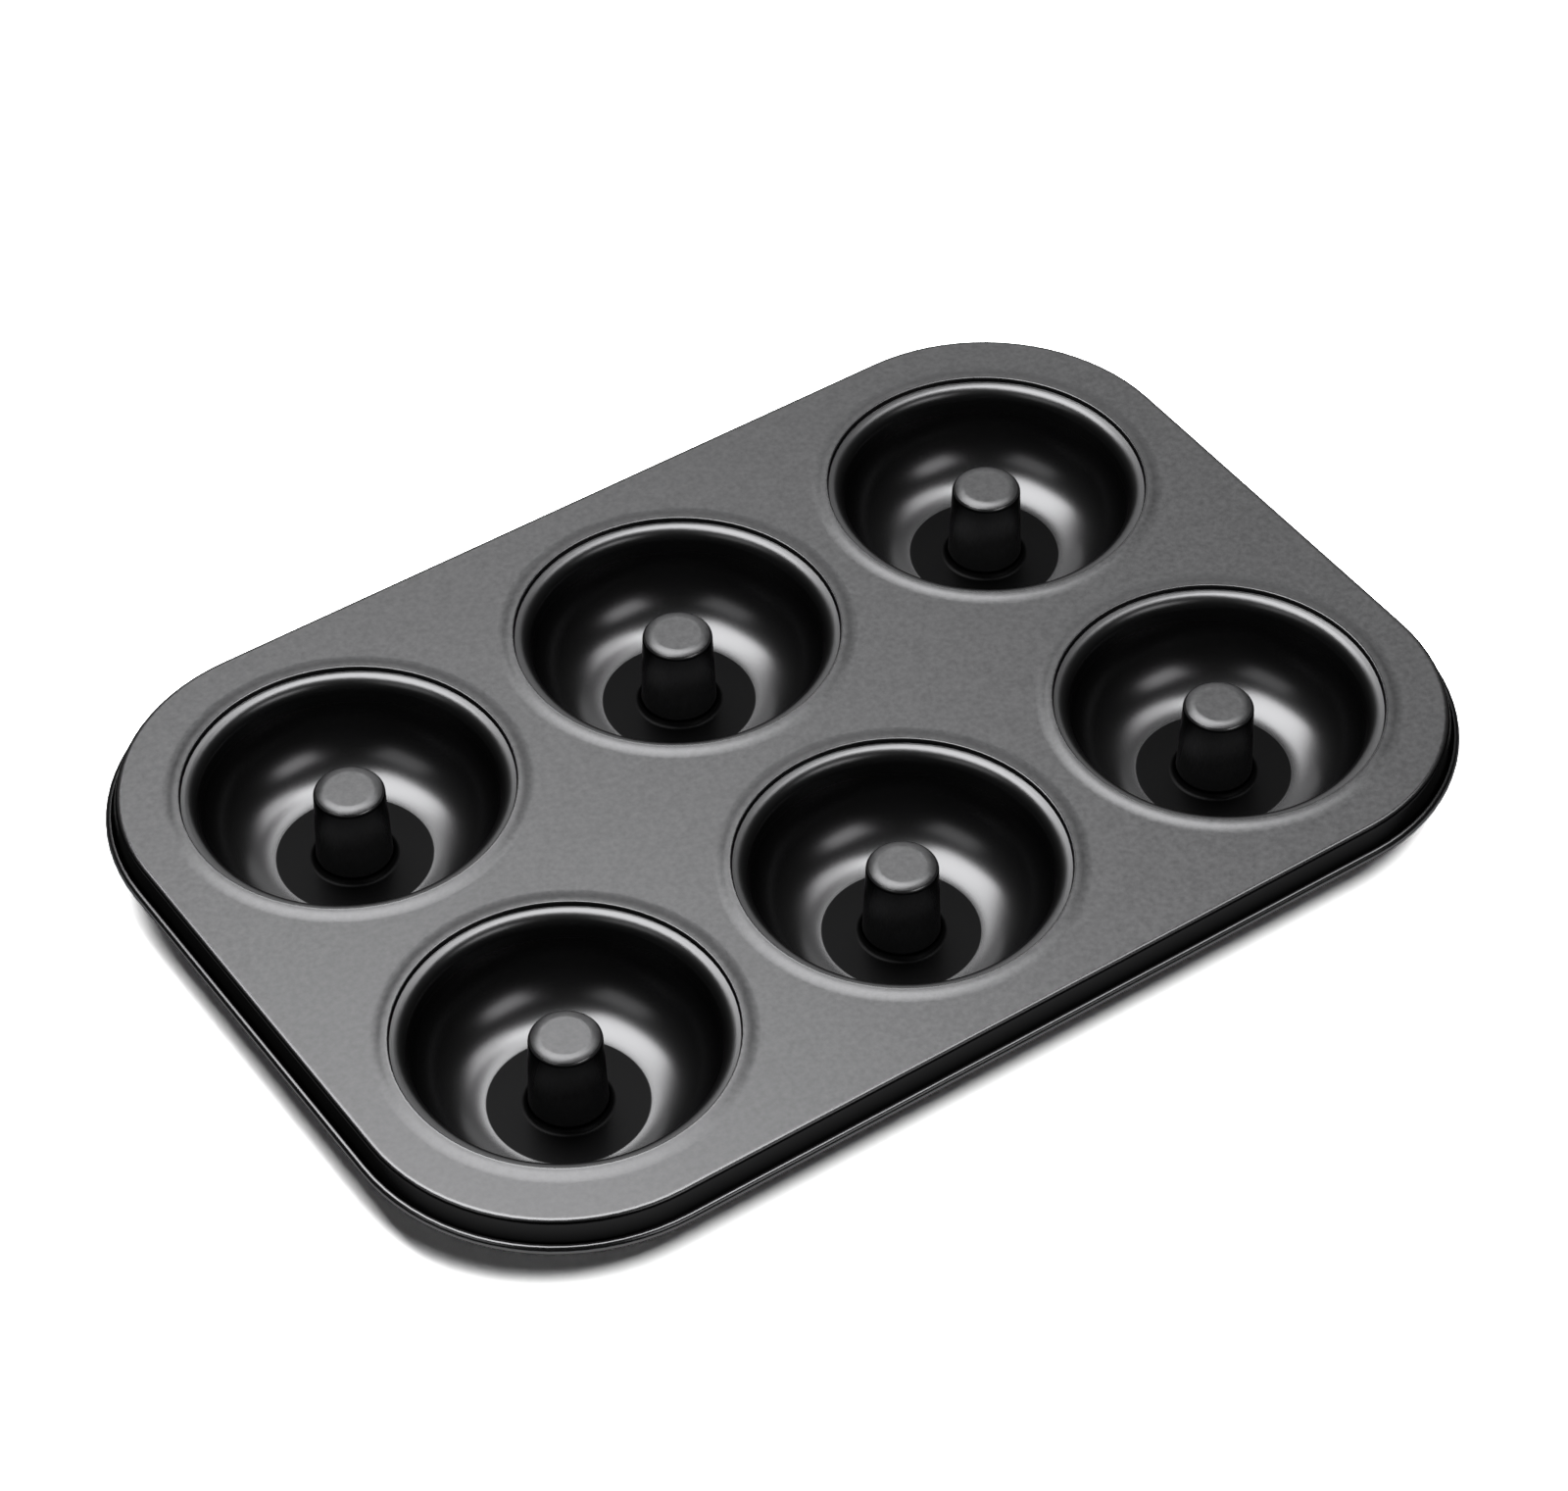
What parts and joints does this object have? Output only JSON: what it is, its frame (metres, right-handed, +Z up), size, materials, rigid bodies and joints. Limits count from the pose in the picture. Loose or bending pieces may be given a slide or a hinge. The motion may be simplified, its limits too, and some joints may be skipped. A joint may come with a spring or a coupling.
{
  "type": "doughnut pan",
  "caption": "Pressed sheet-steel baking pan with round cups that each have a raised centre post, a flat deck, rounded corners and a curled edge.",
  "frame": {"origin": "under the middle of the pan, on the plane that its cup floors stand on", "axes": "+X along the long side, +Y across the pan towards the back of the picture, +Z up out of the cups"},
  "size_m": [0.266, 0.185, 0.022],
  "materials": {
    "coated_steel": "satin"
  },
  "bodies": {
    "root": {"pan": "coated_steel"}
  },
  "joints": []
}
